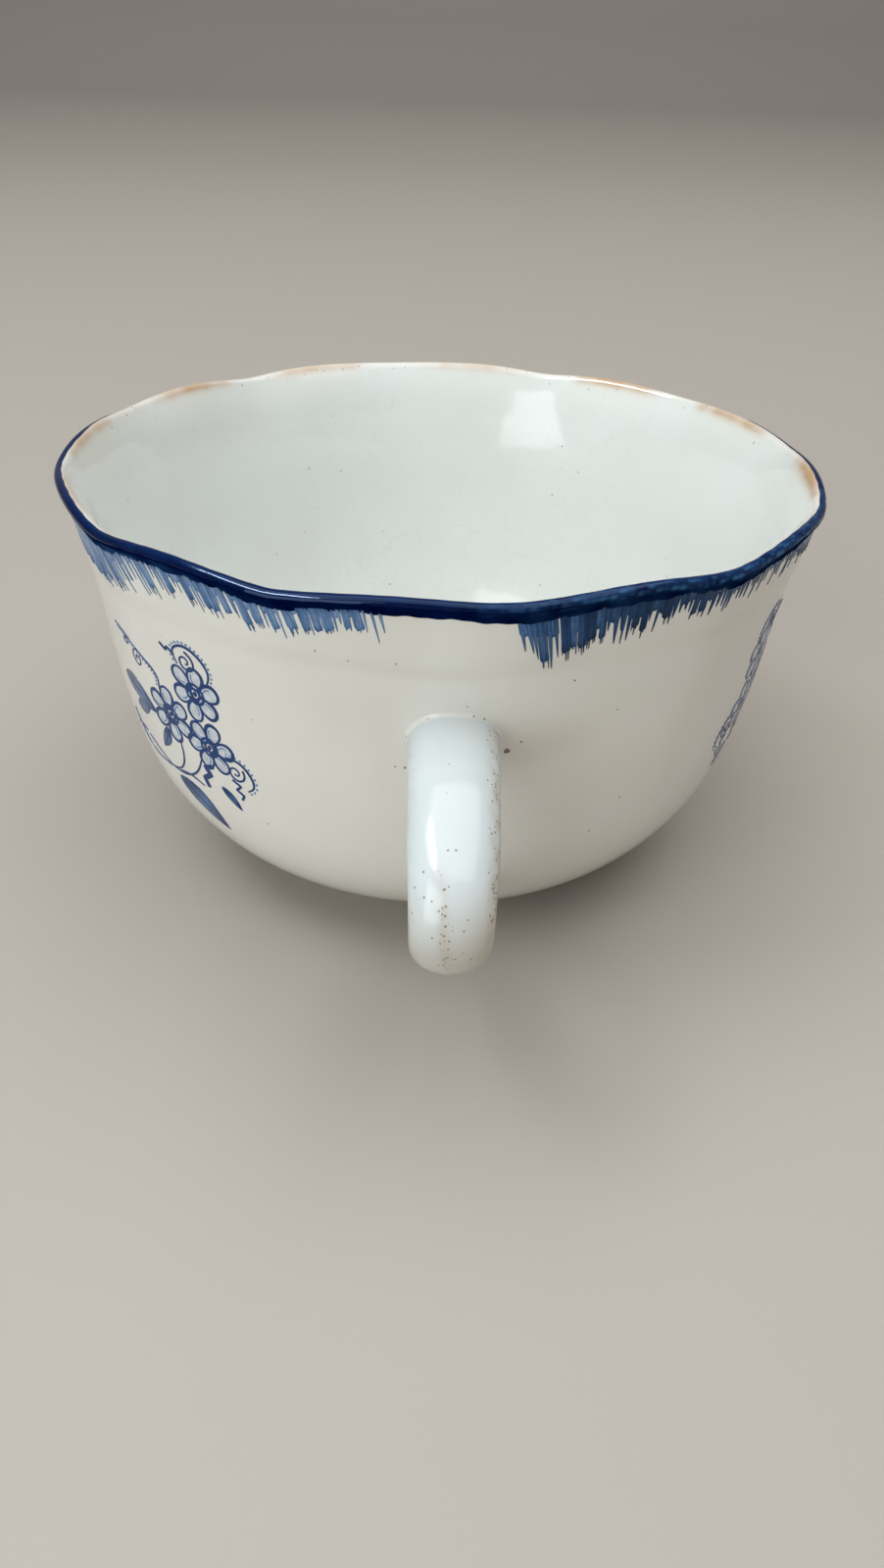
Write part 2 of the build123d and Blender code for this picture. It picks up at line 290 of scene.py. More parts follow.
# ---------------- colours (linear)
CREAM = np.array((0.85, 0.83, 0.775))
INNER = np.array((0.83, 0.86, 0.845))
COOL = np.array((0.715, 0.785, 0.81))
# warm grey for painted shade on the handle's lower end and right side
PAINTED_SHADE_WARM = np.array((0.60, 0.55, 0.48))
GRIME = np.array((0.50, 0.41, 0.30))
# brown for soil and for painted shade on the wall
SOIL_AND_SHADE = np.array((0.52, 0.43, 0.32))
RUST = np.array((0.55, 0.31, 0.14))
YELLOWED = np.array((0.78, 0.67, 0.48))
CRAZE = np.array((0.45, 0.38, 0.28))
IRON = np.array((0.14, 0.105, 0.075))
NAVY = np.array((0.0003, 0.0035, 0.036))
BLUE = np.array((0.0003, 0.026, 0.125))
# watery blue of the lip coat, also the colour of its painted sky reflections
WATERY_AND_SHEEN = np.array((0.045, 0.150, 0.340))
WASHES = np.array([(0.38, 0.49, 0.68), (0.115, 0.225, 0.43),       # from thin to pooled
                   (0.020, 0.068, 0.175), (0.004, 0.020, 0.062)])
DEEP = np.array((0.002, 0.042, 0.185))
MIST = np.array((0.13, 0.27, 0.50))
SKY = np.array((0.66, 0.70, 0.745))
BLUE_SHEEN = (0.5, 0.7, 1.0)                   # tint of the highlights on cobalt


def wash(shade):
    """Colour of a cobalt wash, 0 thin to 1 pooled."""
    place = np.clip(shade, 0, 1) * (len(WASHES) - 1)
    return np.stack([np.interp(place, np.arange(len(WASHES)), WASHES[:, k]) for k in range(3)], -1)


# ---------------- materials


class Look:
    """Material in object coordinates, with short ways to add nodes to it."""

    def __init__(self, name):
        self.mat = bpy.data.materials.new(name)
        self.mat.use_nodes = True
        self.shader = self.mat.node_tree.nodes["Principled BSDF"]
        self.coords = self.add("ShaderNodeTexCoord").outputs["Object"]

    def add(self, kind, **values):
        """Node, with values set on its inputs or on itself."""
        node = self.mat.node_tree.nodes.new(kind)
        for key, value in values.items():
            if key in node.inputs:
                node.inputs[key].default_value = value
            else:
                setattr(node, key.lower(), value)
        return node

    def feed(self, socket, value):
        """Link a socket to an input, or set a number or colour on it."""
        if isinstance(value, bpy.types.NodeSocket):
            self.mat.node_tree.links.new(value, socket)
        else:
            socket.default_value = (*value, 1) if np.ndim(value) else value

    def ramp(self, value, stops):
        """Value passed through a ramp of colours or greys."""
        node = self.add("ShaderNodeValToRGB")
        elements = node.color_ramp.elements
        while len(elements) < len(stops):
            elements.new(0.5)
        for element, (place, colour) in zip(elements, stops):
            element.position = place
            element.color = (*(colour if np.ndim(colour) else (colour,) * 3), 1)
        self.feed(node.inputs[0], value)
        return node.outputs[0]

    def mixed(self, factor, a, b, mode="MIX"):
        node = self.add("ShaderNodeMix", data_type="RGBA", blend_type=mode)
        for index, value in ((0, factor), (6, a), (7, b)):
            self.feed(node.inputs[index], value)
        return node.outputs[2]

    def calc(self, kind, *values):
        """Math node on sockets or numbers."""
        node = self.add("ShaderNodeMath", operation=kind)
        for socket, value in zip(node.inputs, values):
            self.feed(socket, value)
        return node.outputs[0]

    def scaled(self, value, factor, offset=0.0):
        return self.calc("MULTIPLY_ADD", value, factor, offset)

    def noise(self, scale, detail, rough=0.5):
        node = self.add("ShaderNodeTexNoise", Scale=scale, Detail=detail, Roughness=rough)
        self.feed(node.inputs["Vector"], self.coords)
        return node.outputs["Fac"]

    def bent_coords(self, scale, reach):
        """Coordinates pushed about by noise, so that round patterns come out ragged."""
        wander = self.add("ShaderNodeTexNoise", Scale=scale, Detail=2.0)
        self.feed(wander.inputs["Vector"], self.coords)
        small = self.add("ShaderNodeVectorMath", operation="MULTIPLY_ADD")
        small.inputs[1].default_value = (reach,) * 3
        self.feed(small.inputs[0], wander.outputs["Color"])
        self.feed(small.inputs[2], self.coords)
        return small.outputs[0]

    def specks(self, scale, size, share):
        """1 on scattered ragged dots, in a share (number or socket) of the cells of a pattern."""
        cells = self.add("ShaderNodeTexVoronoi", Scale=scale)
        self.feed(cells.inputs["Vector"], self.bent_coords(scale * 2.2, 0.35 / scale))
        near = self.calc("LESS_THAN", cells.outputs["Distance"], size)
        split = self.add("ShaderNodeSeparateColor")
        self.feed(split.inputs[0], cells.outputs["Color"])
        return self.calc("MULTIPLY", near, self.calc("LESS_THAN", split.outputs[0], share))

    def spots(self, places):
        """1 inside a few ragged spots, each (angle, depth, radius in mm) on the wall's outside."""
        rough_edge = self.noise(2600, 2)
        total = 0.0
        for angle, depth, radius in places:
            x, y, z = on_wall(np.array(float(angle)), np.array(float(depth)))
            gap = self.add("ShaderNodeVectorMath", operation="DISTANCE")
            gap.inputs[1].default_value = (x / 1000, (y + CENTRE_Y) / 1000, z / 1000)
            self.feed(gap.inputs[0], self.coords)
            wide = self.calc("MULTIPLY", rough_edge, radius * 0.0012)
            near = self.calc("LESS_THAN", self.calc("ADD", gap.outputs[1], wide), radius * 0.0015)
            total = self.calc("MAXIMUM", near, total)
        return total

    def finish(self, colour, roughness, grain, strength, distance):
        """The shader's colour and roughness, with a fine grain of noise raised on it."""
        self.feed(self.shader.inputs["Base Color"], colour)
        self.feed(self.shader.inputs["Roughness"], roughness)
        bump = self.add("ShaderNodeBump", Strength=strength, Distance=distance)
        self.feed(bump.inputs["Height"], self.noise(*grain))
        self.feed(self.shader.inputs["Normal"], bump.outputs["Normal"])
        return self.mat


GLAZE_IOR = 1.52
# iron specks: scale of the cells, size in a cell, share for each unit of Wear, strength
IRON_SPECKS = ((900, 0.16, 0.16, 0.62), (2300, 0.35, 0.95, 0.7))


def glaze(name, cloud=0.05, rough=(0.07, 0.16), craze=0.25, specks=0.0006, spots=()):
    """Glossy glaze over the piece's own Paint colour, with clouding, fine crazing and iron specks.

    The piece's Wear values bring more specks.
    """
    look = Look(name)
    paint = look.add("ShaderNodeVertexColor", layer_name="Paint").outputs[0]
    wear = look.add("ShaderNodeAttribute", attribute_name="Wear").outputs["Fac"]
    cloudy = (1 - cloud, 1 - cloud * 1.1, 1 - cloud * 1.5)
    colour = look.mixed(1.0, paint, look.ramp(look.noise(45, 5), [(0.3, cloudy), (0.7, 1)]),
                        "MULTIPLY")
    cells = look.add("ShaderNodeTexVoronoi", feature="DISTANCE_TO_EDGE", Scale=230.0)
    look.feed(cells.inputs["Vector"], look.bent_coords(160, 0.004))
    line = look.ramp(cells.outputs["Distance"], [(0.0, 1), (0.02, 0)])
    patch = look.ramp(look.noise(24, 2), [(0.45, 0), (0.7, 1)])
    where = look.mixed(1.0, line, patch, "MULTIPLY")
    colour = look.mixed(look.scaled(where, craze * 0.5), colour, CRAZE)
    for scale, size, worn, strength in IRON_SPECKS:
        dots = look.specks(scale, size, look.scaled(wear, worn, specks))
        colour = look.mixed(look.scaled(dots, strength), colour, IRON)
    if spots:
        colour = look.mixed(look.scaled(look.spots(spots), 0.85), colour, IRON * 0.4)
    look.shader.inputs["IOR"].default_value = GLAZE_IOR
    shine = look.ramp(look.noise(60, 5), list(zip((0.25, 0.8), rough)))
    return look.finish(colour, shine, (120, 4), 0.10, 0.0010)


def cobalt(name, streak, scale, rough=(0.06, 0.14), gloss=0.3, sheen=(0.6, 0.75, 1.0)):
    """Cobalt under glaze: the piece's Paint colour broken by brush streaks and pooling."""
    look = Look(name)
    paint = look.add("ShaderNodeVertexColor", layer_name="Paint").outputs[0]
    fine = look.ramp(look.noise(scale, 5, 0.6), [(0.35, 1 - streak), (0.65, 1 + streak * 0.2)])
    colour = look.mixed(1.0, paint, fine, "MULTIPLY")
    pool = look.ramp(look.noise(scale * 0.3, 4, 0.6), [(0.45, 0), (0.75, 1)])
    lighter = look.mixed(1.0, colour, (2.2, 2.0, 1.7), "MULTIPLY")
    colour = look.mixed(look.scaled(pool, streak * 0.45), colour, lighter)
    look.shader.inputs["Specular IOR Level"].default_value = gloss
    look.shader.inputs["Specular Tint"].default_value = (*sheen, 1)
    shine = look.ramp(look.noise(70, 4), list(zip((0.3, 0.75), rough)))
    return look.finish(colour, shine, (260, 4), 0.08, 0.0008)


def bare_clay(name):
    """Unglazed fired clay, rubbed grey where it stands."""
    look = Look(name)
    tone = look.ramp(look.noise(130, 8, 0.65), [(0.3, (0.50, 0.42, 0.31)),
                                                (0.55, (0.62, 0.55, 0.43)),
                                                (0.8, (0.40, 0.33, 0.25))])
    colour = look.mixed(look.scaled(look.specks(900, 0.2, 0.1), 0.7), tone, (0.13, 0.10, 0.08))
    return look.finish(colour, 0.85, (1400, 6, 0.7), 0.4, 0.0004)


# ---------------- the clay body

# worn crests of the inner lip: direction, strength
STAINS = {-7.6: 1.0, 22.4: 0.8, 52.4: 0.95, 82.4: 0.45, 112.4: 0.5, 142.4: 0.75, 172.4: 0.6,
          -157.6: 0.35}
# single dark spots on the outside: direction, depth, radius
SPOTS = [(-82.3, 22.3, 0.42), (-80.4, 21.0, 0.2), (-96.4, 25.1, 0.17), (-97.8, 25.0, 0.14),
         (-88.2, 15.2, 0.12), (-119.0, 21.5, 0.12), (-74.0, 12.4, 0.14), (-62.0, 34.0, 0.15),
         (41.0, 29.0, 0.2), (171.0, 33.0, 0.16)]


def body_tint(angle, depth, run):
    """Glaze colour: cream outside, cooler inside, worn brown along the inner lip, a little soil,
    and painted shade: the handle's shadow on the wall and a darker belly.

    The run is the distance along the wall from the middle of the lip, inwards.
    """
    tint = blend(CREAM, INNER, rows_of(np.clip(run / 0.4, 0, 1)))
    stain = 0.06 * hump(run - 0.6, 0.5)
    halo = 0 * run
    for crest, strength in STAINS.items():
        away = turn_between(angle, crest) + 2.2 * ragged(angle, 3)
        wide = hump(away, 8.5, 4)
        edge = hump(run - 0.45, 0.85) * (0.85 + 0.28 * ragged(angle, 5))
        stain = stain + strength * wide * np.clip(edge, 0, 1.1)
        halo = halo + strength * wide * np.exp(-np.clip(run, 0, 60) / 2.4) * (run > -0.6)
    tint = blend(tint, YELLOWED, rows_of(np.clip(0.42 * halo, 0, 1)))
    tint = blend(tint, RUST, rows_of(np.clip(stain, 0, 0.85)))
    # painted shadow of the handle on the wall right of its root; soil left of the root and in the
    # bare stretch under the lip; painted shade low on the belly
    root = np.exp(-(turn_between(angle, -77) / 6.5) ** 2 - ((depth - 21.5) / 3.0) ** 2)
    # soil to the left of the handle's root
    root = root + 0.4 * np.exp(-(turn_between(angle, -99.5) / 2.5) ** 2 - ((depth - 25) / 7) ** 2)
    streak = hump(depth - 10.2 + 0.5 * np.sin(np.radians(angle * 9)), 0.7) \
        * hump(turn_between(angle, -93), 9)
    # painted shade: darker and browner towards the bottom of the belly
    belly = np.clip((depth - 44) / 16, 0, 1) ** 1.5
    soil_and_shade = np.clip(0.22 * root + 0.16 * streak + 0.20 * belly, 0, 0.5) * (run < 0)
    return blend(tint, SOIL_AND_SHADE, rows_of(soil_and_shade))


def make_body():
    """Closed bowl: underside, wall, lip and inside in one sweep, with a point at either end."""
    steps = BODY_STEPS
    outside, lip = smooth_line(OUTSIDE, 90), smooth_line(LIP, 20)
    inside = smooth_line(INSIDE, 260)      # thinned out below the lip
    inside = np.array([p for k, p in enumerate(inside) if p[0] < 5 or k % 3 == 0 or k == 259])
    profile = np.concatenate([UNDERSIDE, outside[::-1][:-1], lip[:-1], inside])
    poles = [(0, 0, HEIGHT - profile[0, 0]), (0, 0, HEIGHT - profile[-1, 0])]
    ring = profile[1:-1]
    verts, angle, depth = turned(ring, steps)
    rows = len(ring)
    faces = grid_faces(rows, steps, wrap_columns=True)
    verts = np.concatenate([verts, poles])
    first, last = rows * steps, rows * steps + 1
    faces += [(first, (j + 1) % steps, j) for j in range(steps)]
    top = first - steps
    faces += [(last, top + j, top + (j + 1) % steps) for j in range(steps)]
    length = np.concatenate([[0], np.cumsum(np.linalg.norm(np.diff(ring, axis=0), axis=1))])
    crest = np.argmin(np.abs(ring[:, 1] - 55.8) + 10 * np.abs(ring[:, 0] - 0.3))
    run = np.repeat(length - length[crest], steps)
    tint = np.concatenate([body_tint(angle, depth, run), [CREAM, INNER]])
    wear = 0.03 * hump(run, 2.0)
    make_piece("glazed_bowl", verts, faces, glaze("cream_glaze", spots=SPOTS), "cream_glaze",
               ("mug_body",), tint, np.append(wear, [0, 0]), crease=60)


# pale streaks of the lip coat at the right, painted reflections of the sky on its watery brushwork:
# share of the way up, seed, strength
LIP_SHEEN_STREAKS = ((0.60, 21, 1.0), (0.74, 22, 0.7), (0.90, 23, 0.8), (0.46, 24, 0.45))
STREAK_BREAKS = ((37, 0.5), (71, 0.45), (113, 0.4), (181, 0.35), (293, 0.3))
RIPPLES = ((61, 0.5), (103, 0.5), (173, 0.5), (241, 0.4))


def lip_tint(a, share):
    """Near-black below, blue over the crest, watery at the right and far left, with painted sky
    reflections as pale streaks at the right.
    """
    angle = np.degrees(a)
    upper = np.clip((share - 0.62) / 0.3, 0, 1)
    right = np.clip((angle - 268) / 20, 0, 1) * (angle < 345)
    left = hump(turn_between(angle, 205), 24) * np.clip((0.5 - share) / 0.12, 0, 1)
    flow = 0.5 + 0.25 * np.sin(31 * a + 5 * share) + 0.25 * np.sin(67 * a + 2)
    sheen_streaks = 0 * a
    # pale streaks along the crest at the right: painted reflections of the sky
    for level, seed, strength in LIP_SHEEN_STREAKS:
        near = hump(share - level - 0.04 * np.sin(9 * a + seed), 0.055)
        broken = np.clip(0.25 + 0.75 * ragged(angle, seed, STREAK_BREAKS), 0, 1)
        sheen_streaks = sheen_streaks + strength * near * broken
    to_blue = np.clip(0.8 * upper + 0.5 * left + 0.15 * flow, 0, 1)
    # watery brushwork, and at the right painted reflections of the sky
    to_watery_and_sheen = np.clip(0.15 * right * flow + 0.85 * right * sheen_streaks + 0.6 * left * flow, 0, 0.9)
    return blend(blend(NAVY, BLUE, rows_of(to_blue)), WATERY_AND_SHEEN, rows_of(to_watery_and_sheen))


def make_lip(name, first, last, gloss, sheen):
    """Part of the cobalt coat, between two shares of the way up the lip from its lower edge."""
    steps, rings = LIP_STEPS, 10
    coat = smooth_line(LIP_PAINT, 80)
    length = np.linalg.norm(np.diff(coat, axis=0), axis=1).sum()
    angles = np.arange(steps) * 360.0 / steps
    a = np.radians(angles)
    edge = 0.12 * np.sin(9 * a + 1) + 0.10 * np.sin(23 * a + 3) + 0.07 * np.sin(61 * a) \
        + 0.05 * np.sin(137 * a + 2) - 0.25 * hump(turn_between(angles, -112), 20)
    # the paint stops on top of the lip in front and keeps to its outside at the back
    back_side = np.clip((np.sin(a) - 0.1) / 0.35, 0, 1)
    short = 0.14 + 0.06 * np.sin(5 * a + 2) + 0.05 * np.sin(14 * a) + 0.03 * np.sin(83 * a + 1) \
        + 1.2 * back_side
    cut = 1 - short / length
    normal = sideways(np.gradient(coat, axis=0))       # (depth, radius), away from the clay
    normal *= rows_of(np.sign((normal * (coat - LIP_HEART)).sum(1)))
    brushed = np.clip((angles - 272) / 20, 0, 1) * (angles < 350)
    front, back, tint = [], [], []
    for share in np.linspace(first, last, rings):
        at = share * cut * (len(coat) - 1)
        base, away = ([np.interp(at, np.arange(len(coat)), column) for column in table.T]
                      for table in (coat, normal))
        ripple = 0.016 * brushed * ragged(angles, 31, RIPPLES) * math.sin(math.pi * share)
        lift = 0.06 + 0.08 * math.sin(math.pi * min(max(share, 0.02), 0.98)) ** 0.4 + ripple
        sides = []
        for height in (lift, -0.05):
            depth = base[0] + height * away[0] + edge * (1 - share) ** 3
            radius = base[1] + height * away[1] + edge * (1 - share) ** 3 * float(wall_slope(3.0))
            sides.append(clay(angles, depth, radius))
        front.append(sides[0])
        back.append(sides[1])
        tint.append(lip_tint(a, share * cut))
    verts = np.concatenate(front + back[::-1])
    tint = np.concatenate(tint + tint[::-1])
    faces = grid_faces(2 * rings, steps, wrap_rows=True, wrap_columns=True)
    make_piece(name, verts, faces, cobalt(name, 0.25, 300.0, (0.03, 0.07), gloss, sheen),
               "cobalt_lip", ("painted_lip",), tint, crease=50)


# The feathered border round the rim: angle, depth reached, sideways lean, shade of the wash,
# share of narrow strokes, gap between strokes (mm), share of the length where they run together.
BORDER = np.array([
    (-180, 8.4, 0.48, 0.34, 0.70, 0.12, 0.25), (-160, 8.8, 0.50, 0.25, 0.66, 0.10, 0.40),
    (-146, 8.6, 0.50, 0.27, 0.70, 0.16, 0.35), (-139, 7.8, 0.48, 0.31, 0.92, 0.30, 0.10),
    (-133, 6.4, 0.46, 0.34, 0.85, 0.32, 0.14), (-126, 6.0, 0.42, 0.33, 0.62, 0.22, 0.28),
    (-119, 6.6, 0.38, 0.32, 0.82, 0.24, 0.18), (-112, 6.5, 0.26, 0.30, 0.60, 0.22, 0.15),
    (-106, 6.1, 0.20, 0.31, 0.60, 0.26, 0.15), (-99, 6.3, 0.18, 0.34, 0.90, 0.42, 0.02),
    # right of the handle the washes are darker: thicker paint, and partly painted shade
    (-84, 7.4, 0.28, 0.56, 0.95, 0.06, 0.22), (-81.5, 10.6, 0.24, 0.60, 0.95, 0.14, 0.26),
    (-79, 9.8, 0.18, 0.62, 0.90, 0.14, 0.30), (-76, 8.7, 0.12, 0.66, 0.60, 0.08, 0.42),
    (-69, 7.6, 0.08, 0.78, 0.72, 0.10, 0.42), (-63, 6.9, 0.02, 0.84, 0.90, 0.16, 0.36),
    (-56, 6.0, -0.06, 0.78, 0.92, 0.22, 0.24), (-50, 5.4, -0.16, 0.70, 0.95, 0.26, 0.10),
    (-38, 5.8, -0.24, 0.62, 0.97, 0.24, 0.12), (-20, 6.6, -0.14, 0.54, 0.92, 0.16, 0.25),
    (30, 6.4, 0.05, 0.44, 0.75, 0.20, 0.25), (90, 6.6, 0.10, 0.38, 0.70, 0.25, 0.20),
    (140, 7.8, 0.30, 0.38, 0.70, 0.15, 0.25), (180, 8.4, 0.48, 0.34, 0.70, 0.12, 0.25)])
STROKE_TOP = 1.9                           # depth where the strokes start, under the lip coat
PER_MM = 360 / (2 * math.pi * 55.0)        # degrees round the rim for a millimetre


def border_at(angle):
    """The border table's values at an angle, all but the angle."""
    return [float(np.interp(turn_between(angle, 0), BORDER[:, 0], column))
            for column in BORDER.T[1:]]


def brush_stroke(ink, rng, angle, reach, width, lean, shade, lift, wide=1.0):
    """Stroke drawn down from the lip: narrow ones (wide=0) run to a point, wide ones end blunt."""
    t = np.sin(np.linspace(0, math.pi / 2, 14))[:, None]
    s = np.linspace(-1, 1, 7 if wide else 5)[None, :]
    length = reach - STROKE_TOP
    point = 1 - 0.92 * t ** 1.8
    left = np.clip((1 - t) * length / (0.45 * width), 0, 1)
    blunt = (0.9 + 0.1 * t) * (1 - (1 - left) ** 2.5) ** 0.4
    half = width / 2 * (point * (1 - wide) + blunt * wide) + 0.02
    streak = 0.09 * np.sin(5 * s * (1 + wide) + rng.uniform(0, 6.28) + 1.5 * t)
    dark = shade + streak + 0.13 * (np.abs(s) > 0.6) + 0.20 * t ** 7 - 0.09 * np.sin(math.pi * t) \
        + 0.10 * (1 - t) ** 4
    slant = 0.10 * s * wide * (t > 0.99)
    ink.pad(angle + PER_MM * (lean * length * t + s * half), STROKE_TOP + length * t - slant,
            wash(dark), lift)


def wide_wash(ink, rng, angle, reach, width, lean, shade):
    """Wide stroke: a wash whose end splits into hairs of different lengths."""
    body = STROKE_TOP + (reach - STROKE_TOP) * rng.uniform(0.78, 0.9)
    brush_stroke(ink, rng, angle + PER_MM * width / 2, body, width, lean, shade, 0.045)
    hairs = max(2, round(width / 0.36))
    for k in range(hairs):
        across = (k + 0.5 + rng.uniform(-0.15, 0.15)) * width / hairs
        brush_stroke(ink, rng, angle + PER_MM * across, reach + rng.uniform(-0.9, 0.35),
                     rng.uniform(0.36, 0.5), lean + rng.uniform(-0.03, 0.03),
                     shade + rng.uniform(-0.05, 0.16), 0.055 + rng.uniform(0, 0.015), 0.0)


def make_border():
    """Brush strokes hanging from the lip coat: a washed band, then narrow and wide strokes."""
    rng = random.Random(BORDER_SEED)
    ink = Ink()
    angle = GAP[1] + 0.6
    while angle < GAP[0] + 359.6:          # the washed band close under the lip
        reach, lean, shade, _, _, band = border_at(angle)
        width = rng.uniform(0.7, 1.8)
        if rng.random() < 0.25 + 2.0 * band:
            depth = 2.7 + (reach - 2.7) * (band + rng.uniform(-0.10, 0.10))
            brush_stroke(ink, rng, angle, max(depth, 3.1), width, lean,
                         shade - 0.10 + rng.uniform(-0.06, 0.06), 0.035 + rng.uniform(0, 0.01))
        angle += PER_MM * width * rng.uniform(0.7, 0.95)
    angle = GAP[1]
    while angle < GAP[0] + 360:
        reach, lean, shade, thin, gap, _ = border_at(angle)
        tone, slope = shade + rng.uniform(-0.10, 0.10), lean + rng.uniform(-0.05, 0.05)
        if rng.random() < thin:
            width = rng.uniform(0.24, 0.46) * (1 + 0.9 * min(max((shade - 0.4) / 0.15, 0), 1))
            brush_stroke(ink, rng, angle + PER_MM * width / 2, reach + rng.uniform(-2.2, 0.5),
                         width, slope, tone, 0.06, 0.0)
        else:
            width = rng.uniform(0.8, 1.4)
            wide_wash(ink, rng, angle, reach + rng.uniform(-1.0, 0.3), width, slope, tone)
        space = gap * rng.uniform(0.3, 2.0)
        if rng.random() < 0.12:
            space += 0.4
        angle += PER_MM * (width * rng.uniform(0.85, 1.0) + space)
    make_piece("feathered_strokes", ink.verts, ink.faces,
               cobalt("cobalt_wash", 0.22, 1100.0, gloss=0.15, sheen=BLUE_SHEEN), "cobalt_wash",
               ("feather_border",), np.array(ink.tint), crease=60)


# ---------------- sprays


def rotation(turn):
    c, s = math.cos(turn), math.sin(turn)
    return np.array([[c, s], [-s, c]])


class Spray(Ink):
    """Printed spray drawn in flat millimetres (right, up) around a place on the wall."""

    def __init__(self, angle, flip, seed):
        super().__init__()
        self.angle, self.flip, self.rng = angle, flip, random.Random(seed)

    def lay(self, u, v, tint, lift):
        """Pad over a grid of flat places; a mirrored spray keeps its faces the same way round."""
        if self.flip < 0:
            u, v = u[:, ::-1], v[:, ::-1]
        self.pad(self.angle + np.degrees(self.flip * u / SPRAY_RADIUS), SPRAY_DEPTH - v, tint, lift)

    def strip(self, line, width, tint, lift=0.07, closed=False):
        """Line of ink with a width that may vary along it."""
        line = np.asarray(line, float)
        side = sideways(np.roll(line, -1, 0) - np.roll(line, 1, 0) if closed
                        else np.gradient(line, axis=0))
        width = rows_of(np.broadcast_to(width, len(line)))
        offsets = np.linspace(0.5, -0.5, 3)[None, :]
        u = line[:, :1] + side[:, :1] * width * offsets
        v = line[:, 1:] + side[:, 1:] * width * offsets
        if closed:
            u, v = np.concatenate([u, u[:1]]), np.concatenate([v, v[:1]])
        self.lay(u, v, tint, lift)

    def blot(self, centre, size, tint, lift=0.05, turn=0.0, squash=1.0):
        """Filled round or oval wash."""
        t = np.linspace(0, 2 * math.pi, 25)
        ring = np.stack([np.cos(t), np.sin(t) * squash], -1) @ rotation(turn)
        share = np.array([1.0, 0.66, 0.33, 0.02])
        self.lay(centre[0] + size * ring[:, :1] * share, centre[1] + size * ring[:, 1:] * share,
                 tint, lift)

    def tendril(self, points, width, beads=0):
        """Curved line that swells in its middle, with beads on its left (1) or right (-1)."""
        count = 60
        line = smooth_line(points, count)
        t = np.linspace(0, 1, count)
        swell = 0.45 + 0.55 * np.sin(math.pi * np.clip(t * 0.9 + 0.08, 0, 1))
        self.strip(line, width * swell, DEEP)
        if beads:
            side = sideways(np.gradient(line, axis=0)) * beads
            step = max(2, int(count / (np.linalg.norm(np.diff(line, axis=0), axis=1).sum() / 0.72)))
            for i in range(2, count - 2, step):
                self.blot(line[i] + side[i] * 0.52, 0.19, MIST, 0.05)

    def spiral(self, centre, size, start, turns=1.6, way=1, width=0.34):
        t = np.linspace(0, 1, 56)
        a = start + way * t * turns * 2 * math.pi
        r = size * (1 - 0.86 * t)
        self.strip(np.stack([centre[0] + r * np.cos(a), centre[1] + r * np.sin(a)], -1),
                   width * (1 - 0.35 * t), DEEP)

    def flower(self, x, y, size, turn):
        """Six outlined petals round a ringed centre."""
        t = np.linspace(0, 2 * math.pi, 41)[:-1]
        for i in range(6):
            a = turn + i * math.pi / 3
            wob = self.rng.uniform(0.93, 1.08)
            c = (x + 0.62 * size * math.cos(a) * wob, y + 0.62 * size * math.sin(a) * wob)
            self.blot(c, size * 0.36, SKY, 0.035, a, 0.74)
            long, wide = size * 0.41, size * 0.30
            loop = np.stack([long * np.cos(t), wide * np.sin(t) * (1 + 0.22 * np.cos(t))], -1)
            loop = loop @ rotation(a) + c
            self.strip(loop, 0.45 + 0.12 * np.cos(t + self.rng.uniform(0, 6)), DEEP, 0.07,
                       closed=True)
            inner = loop * 0.52 + np.array(c) * 0.48
            self.strip(inner[6:20], 0.22, MIST, 0.06)
        for radius, width in ((0.36, 0.46), (0.20, 0.40)):
            ring = np.stack([x + size * radius * np.cos(t), y + size * radius * np.sin(t)], -1)
            self.strip(ring, width, DEEP, 0.08, closed=True)
        self.blot((x, y), size * 0.09, DEEP, 0.08)

    def leaf(self, start, end, width, bend=0.0, vein=True):
        """Pointed leaf, dark along its edges and its rib."""
        start, end = np.array(start, float), np.array(end, float)
        along = end - start
        across = np.array((-along[1], along[0])) / np.linalg.norm(along)
        t = np.linspace(0, 1, 26)
        middle = start + along * t[:, None] + across * bend * np.sin(math.pi * t)[:, None]
        half = width / 2 * np.sin(math.pi * t ** 0.8) ** 0.8 + 0.03
        s = np.linspace(1, -1, 7)
        shade = np.clip(0.55 + 0.45 * np.abs(s)[None, :] + 0.25 * np.sin(9 * t)[:, None], 0, 1)
        self.lay(middle[:, :1] + across[0] * half[:, None] * s,
                 middle[:, 1:] + across[1] * half[:, None] * s,
                 blend(MIST, DEEP * 0.9, shade[..., None]), 0.05)
        if vein:
            self.strip(middle[2:-2], 0.20, DEEP * 0.6, 0.09)

    def zigzag(self, points, width):
        line = np.array(points, float)
        fine = np.concatenate([np.linspace(a, b, 6)[:-1] for a, b in zip(line, line[1:])]
                              + [line[-1:]])
        self.strip(fine, width, DEEP)


